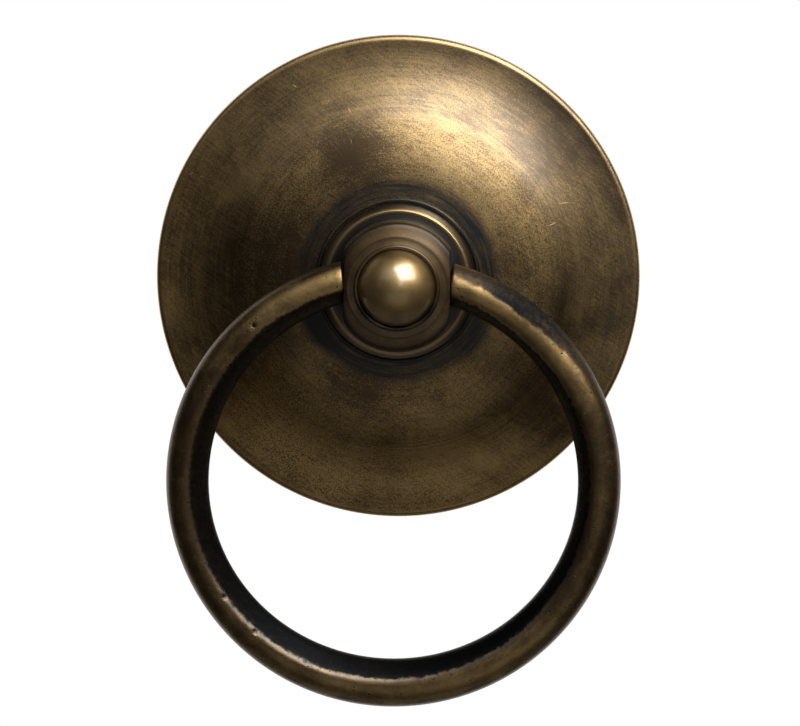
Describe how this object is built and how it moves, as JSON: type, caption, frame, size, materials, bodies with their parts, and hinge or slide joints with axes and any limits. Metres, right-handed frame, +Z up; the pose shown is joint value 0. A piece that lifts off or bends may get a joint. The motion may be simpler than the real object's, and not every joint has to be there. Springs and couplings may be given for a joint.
{
  "type": "ring pull handle",
  "caption": "Round ring pull for a cabinet door or drawer: a ring swings from a turned post on a wide spun rose.",
  "frame": {"origin": "centre of the rose's back, on the plane of the door, which is also the axis of the post and of its tapped hole", "axes": "+Z up, the front faces -Y, the ring swings about an axis along X in front of the rose and hangs towards -Z"},
  "size_m": [0.08, 0.0289, 0.1087],
  "materials": {
    "rose_brass": "antiqued, brushed, satin",
    "hub_brass": "antiqued, turned, satin",
    "button_brass": "antiqued, rubbed bright",
    "ring_brass": "antiqued casting, hand filed, satin",
    "plain_brass": "plain turned"
  },
  "bodies": {
    "pull_base": {"rose": "rose_brass", "collar": "hub_brass", "post": "hub_brass", "button": "button_brass", "washer": "plain_brass", "lock_nut": "plain_brass"},
    "pull_ring": {"ring": "ring_brass"}
  },
  "joints": [
    {"name": "ring_swing", "type": "hinge", "parent": "pull_base", "child": "pull_ring", "pos_m": [0, -0.0204, 0], "axis": [-1, 0, 0], "range_deg": [-14.5, 194.5]}
  ]
}
